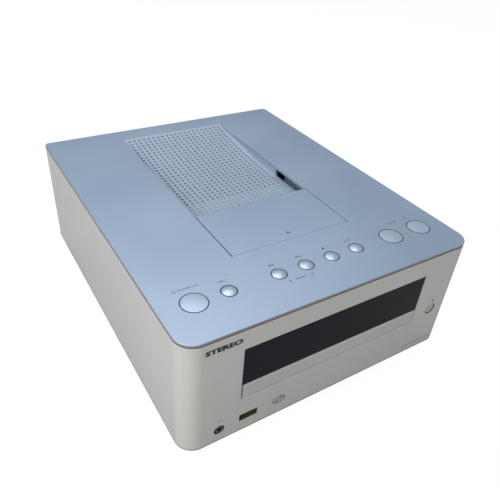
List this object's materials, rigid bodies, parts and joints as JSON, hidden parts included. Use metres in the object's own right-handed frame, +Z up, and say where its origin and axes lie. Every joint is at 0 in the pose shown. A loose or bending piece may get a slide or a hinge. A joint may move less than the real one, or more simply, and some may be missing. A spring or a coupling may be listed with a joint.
{
  "type": "mini hifi system",
  "caption": "Compact disc receiver with a white casing, silver top, sliding dock lid over a perforated dish, disc tray, push keys and rear sockets.",
  "frame": {"origin": "centre of the whole outline, on the surface that the feet stand on", "axes": "+Z up, front face towards -Y, +X to the right seen from the front"},
  "size_m": [0.215, 0.274, 0.0959],
  "materials": {
    "white_casing": "gloss white lacquer",
    "silver_cover": "satin silver",
    "silver_keys": "satin silver",
    "beige_key": "satin",
    "tray_white": "satin white",
    "black_window": "gloss black",
    "black_plastic": "moulded, matt",
    "grey_plastic": "moulded, matt",
    "gear_plastic": "natural acetal",
    "steel": "zinc plated",
    "polished_steel": "ground",
    "display_cell": "tinted",
    "board": "solder mask",
    "rubber": "matt",
    "aluminium": "extruded",
    "brass": "plated",
    "winding": "taped winding and laminated core",
    "sleeve": "shrink sleeve",
    "red_cap": "clear red",
    "black_cap": "black",
    "lens": "coated",
    "flat_cable": "laminated"
  },
  "bodies": {
    "case": {"outer_casing": "white_casing", "top_cover": "silver_cover", "vent_grille": "silver_cover", "bottom_chassis": "steel", "rear_panel": "steel", "rubber_feet": "rubber", "screws": "polished_steel", "display_window": "black_window", "display_module": "display_cell", "front_board": "board", "headphone_jack": "black_plastic", "usb_port": "steel", "jack_board": "board", "key_board": "board", "key_switches": "black_plastic", "dock_well": "grey_plastic", "dock_connector": "black_plastic", "loader_frame": "black_plastic", "clamp_bridge": "steel", "loading_motor": "steel", "drive_belt": "rubber", "main_board": "board", "power_transformer": "winding", "heat_sink": "aluminium", "capacitors": "sleeve", "tuner_module": "steel", "ribbon_cable": "flat_cable", "speaker_block": "black_plastic", "speaker_posts": "brass", "line_jacks": "black_plastic", "antenna_jack": "polished_steel", "ac_inlet": "black_plastic"},
    "lid": {"dock_lid": "silver_cover"},
    "tray": {"disc_tray": "black_plastic", "tray_front": "tray_white"},
    "traverse": {"traverse_base": "grey_plastic", "guide_rods": "polished_steel", "spindle_motor": "steel", "sled_motor": "steel"},
    "turntable_spindle": {"turntable": "black_plastic"},
    "sled": {"pickup_sled": "grey_plastic", "pickup_lens": "lens"},
    "sled_pinion": {"sled_gear": "gear_plastic"},
    "clamp": {"disc_clamp": "black_plastic"},
    "motor_pulley_body": {"motor_pulley": "gear_plastic"},
    "belt_wheel_body": {"belt_wheel": "gear_plastic"},
    "tray_gear_body": {"tray_gear": "gear_plastic"},
    "eject_key": {"eject_button": "beige_key"},
    "power_key": {"power_button": "silver_keys"},
    "input_key": {"input_button": "silver_keys"},
    "previous_key": {"previous_button": "silver_keys"},
    "next_key": {"next_button": "silver_keys"},
    "stop_key": {"stop_button": "silver_keys"},
    "play_key": {"play_button": "silver_keys"},
    "volume_down_key": {"volume_down_button": "silver_keys"},
    "volume_up_key": {"volume_up_button": "silver_keys"},
    "post_cap_lower_left": {"speaker_cap_lower_left": "black_cap"},
    "post_cap_lower_right": {"speaker_cap_lower_right": "red_cap"},
    "post_cap_upper_left": {"speaker_cap_upper_left": "black_cap"},
    "post_cap_upper_right": {"speaker_cap_upper_right": "red_cap"}
  },
  "joints": [
    {"name": "lid_slide", "type": "slide", "parent": "case", "child": "lid", "axis": [0, 1, 0], "range_m": [0, 0.034]},
    {"name": "tray_slide", "type": "slide", "parent": "case", "child": "tray", "axis": [0, -1, 0], "range_m": [0, 0.122]},
    {"name": "traverse_tilt", "type": "hinge", "parent": "case", "child": "traverse", "pos_m": [0, 0.006, 0.033], "axis": [1, 0, 0], "range_deg": [0, 4.2]},
    {"name": "turntable_spin", "type": "hinge", "parent": "traverse", "child": "turntable_spindle", "pos_m": [0, -0.0705, 0.04], "axis": [0, 0, 1], "continuous": true},
    {"name": "clamp_spin", "type": "hinge", "parent": "case", "child": "clamp", "pos_m": [0, -0.0705, 0.05], "axis": [0, 0, 1], "continuous": true},
    {"name": "sled_slide", "type": "slide", "parent": "traverse", "child": "sled", "axis": [0, 1, 0], "range_m": [0, 0.033]},
    {"name": "sled_gear_spin", "type": "hinge", "parent": "traverse", "child": "sled_pinion", "pos_m": [0.0313, -0.04, 0.033], "axis": [0, 0, 1], "range_deg": [-400, 0]},
    {"name": "tray_gear_spin", "type": "hinge", "parent": "case", "child": "tray_gear_body", "pos_m": [-0.042, -0.122, 0.035], "axis": [0, 0, 1], "range_deg": [0, 885]},
    {"name": "belt_wheel_spin", "type": "hinge", "parent": "case", "child": "belt_wheel_body", "pos_m": [-0.0321, -0.1121, 0.031], "axis": [0, 0, 1], "range_deg": [-1180, 0]},
    {"name": "motor_pulley_spin", "type": "hinge", "parent": "case", "child": "motor_pulley_body", "pos_m": [-0.002, -0.112, 0.0295], "axis": [0, 0, 1], "range_deg": [-4220, 0]},
    {"name": "eject_press", "type": "slide", "parent": "case", "child": "eject_key", "axis": [0, 1, 0], "range_m": [0, 0.0008], "stiffness_N_per_m": 400, "springref_m": -0.0005},
    {"name": "power_press", "type": "slide", "parent": "case", "child": "power_key", "axis": [0, 0, -1], "range_m": [0, 0.0008], "stiffness_N_per_m": 400, "springref_m": -0.0005},
    {"name": "input_press", "type": "slide", "parent": "case", "child": "input_key", "axis": [0, 0, -1], "range_m": [0, 0.0008], "stiffness_N_per_m": 400, "springref_m": -0.0005},
    {"name": "previous_press", "type": "slide", "parent": "case", "child": "previous_key", "axis": [0, 0, -1], "range_m": [0, 0.0008], "stiffness_N_per_m": 400, "springref_m": -0.0005},
    {"name": "next_press", "type": "slide", "parent": "case", "child": "next_key", "axis": [0, 0, -1], "range_m": [0, 0.0008], "stiffness_N_per_m": 400, "springref_m": -0.0005},
    {"name": "stop_press", "type": "slide", "parent": "case", "child": "stop_key", "axis": [0, 0, -1], "range_m": [0, 0.0008], "stiffness_N_per_m": 400, "springref_m": -0.0005},
    {"name": "play_press", "type": "slide", "parent": "case", "child": "play_key", "axis": [0, 0, -1], "range_m": [0, 0.0008], "stiffness_N_per_m": 400, "springref_m": -0.0005},
    {"name": "volume_down_press", "type": "slide", "parent": "case", "child": "volume_down_key", "axis": [0, 0, -1], "range_m": [0, 0.0008], "stiffness_N_per_m": 400, "springref_m": -0.0005},
    {"name": "volume_up_press", "type": "slide", "parent": "case", "child": "volume_up_key", "axis": [0, 0, -1], "range_m": [0, 0.0008], "stiffness_N_per_m": 400, "springref_m": -0.0005},
    {"name": "cap_lower_left_turn", "type": "hinge", "parent": "case", "child": "post_cap_lower_left", "pos_m": [-0.043, 0.131, 0.041], "axis": [0, 1, 0], "range_deg": [0, 1440]},
    {"name": "cap_lower_right_turn", "type": "hinge", "parent": "case", "child": "post_cap_lower_right", "pos_m": [-0.024, 0.131, 0.041], "axis": [0, 1, 0], "range_deg": [0, 1440]},
    {"name": "cap_upper_left_turn", "type": "hinge", "parent": "case", "child": "post_cap_upper_left", "pos_m": [-0.043, 0.131, 0.061], "axis": [0, 1, 0], "range_deg": [0, 1440]},
    {"name": "cap_upper_right_turn", "type": "hinge", "parent": "case", "child": "post_cap_upper_right", "pos_m": [-0.024, 0.131, 0.061], "axis": [0, 1, 0], "range_deg": [0, 1440]}
  ],
  "couplings": [
    {"joint": "tray_gear_spin", "follows": "tray_slide", "rad_per_m": 125},
    {"joint": "belt_wheel_spin", "follows": "tray_slide", "rad_per_m": -166.67},
    {"joint": "motor_pulley_spin", "follows": "tray_slide", "rad_per_m": -596.77},
    {"joint": "sled_gear_spin", "follows": "sled_slide", "rad_per_m": -208.33},
    {"joint": "clamp_spin", "follows": "turntable_spin", "ratio": 1}
  ]
}
